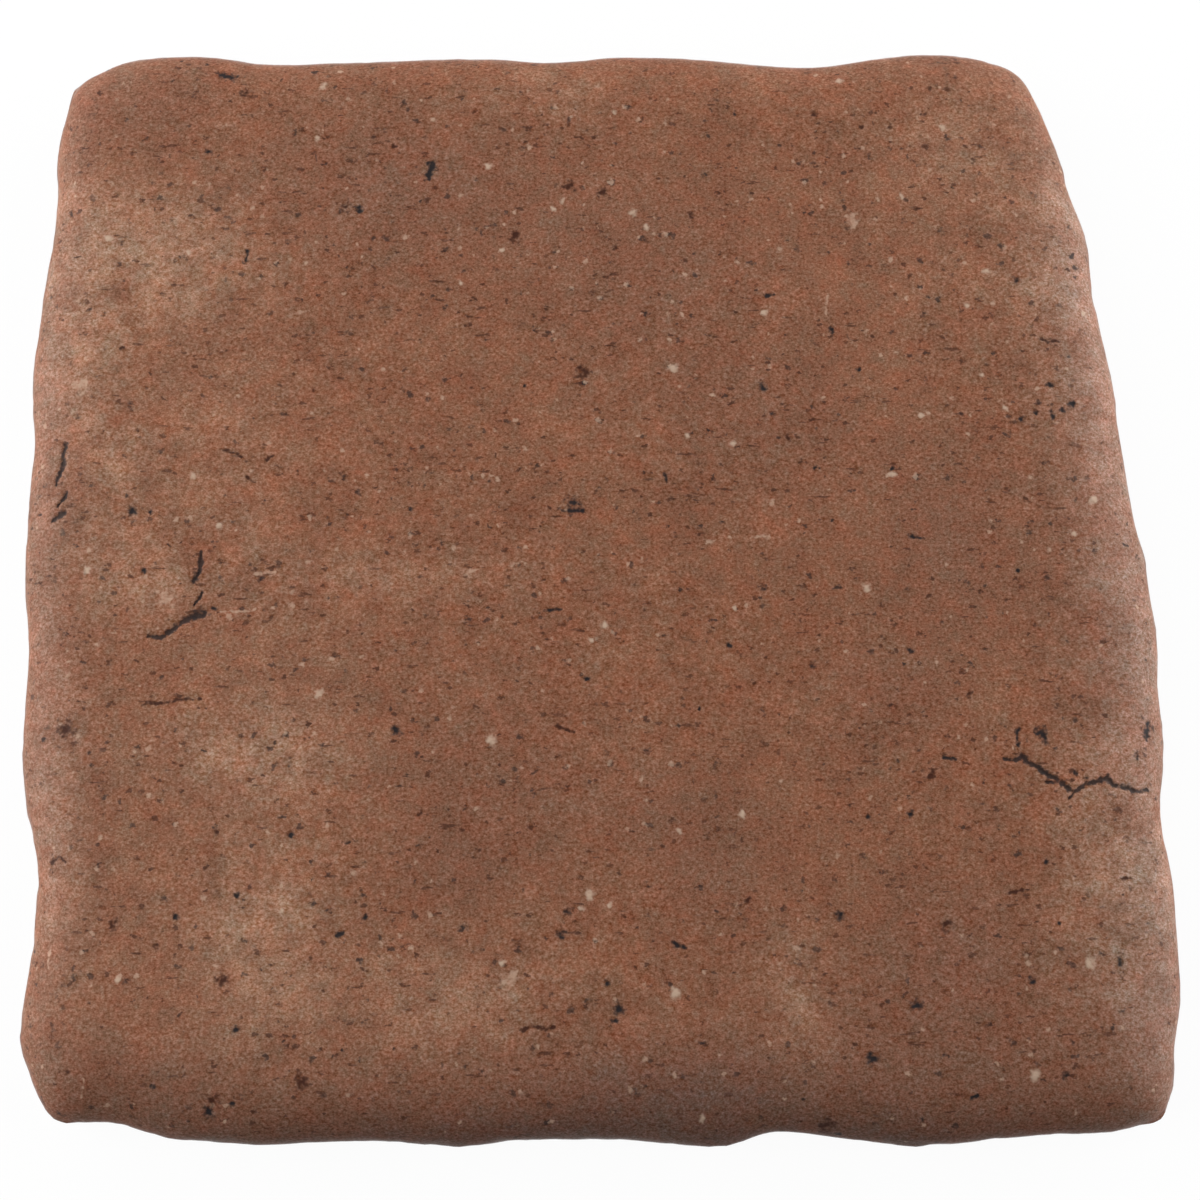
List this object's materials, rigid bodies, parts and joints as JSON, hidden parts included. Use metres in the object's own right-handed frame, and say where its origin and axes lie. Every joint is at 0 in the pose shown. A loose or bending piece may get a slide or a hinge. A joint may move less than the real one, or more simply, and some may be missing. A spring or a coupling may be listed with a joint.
{
  "type": "rustic porcelain floor tile",
  "caption": "Square porcelain tile with a wandering hand-broken outline, soft cushion edge, gently waving face and a ribbed key back.",
  "frame": {"origin": "under the middle of the tile's outline, on the plane of the back's ribs", "axes": "+Z out of the face, +Y towards the narrower side, +X to the right seen from above with that side away"},
  "size_m": [0.1512, 0.1488, 0.0103],
  "materials": {
    "terracotta_porcelain": "matt brick-brown fired face with fine salt-and-pepper grain, dark specks, cream grains and hairline cracks; plain fired body on the back"
  },
  "bodies": {
    "root": {"tile": "terracotta_porcelain"}
  },
  "joints": []
}
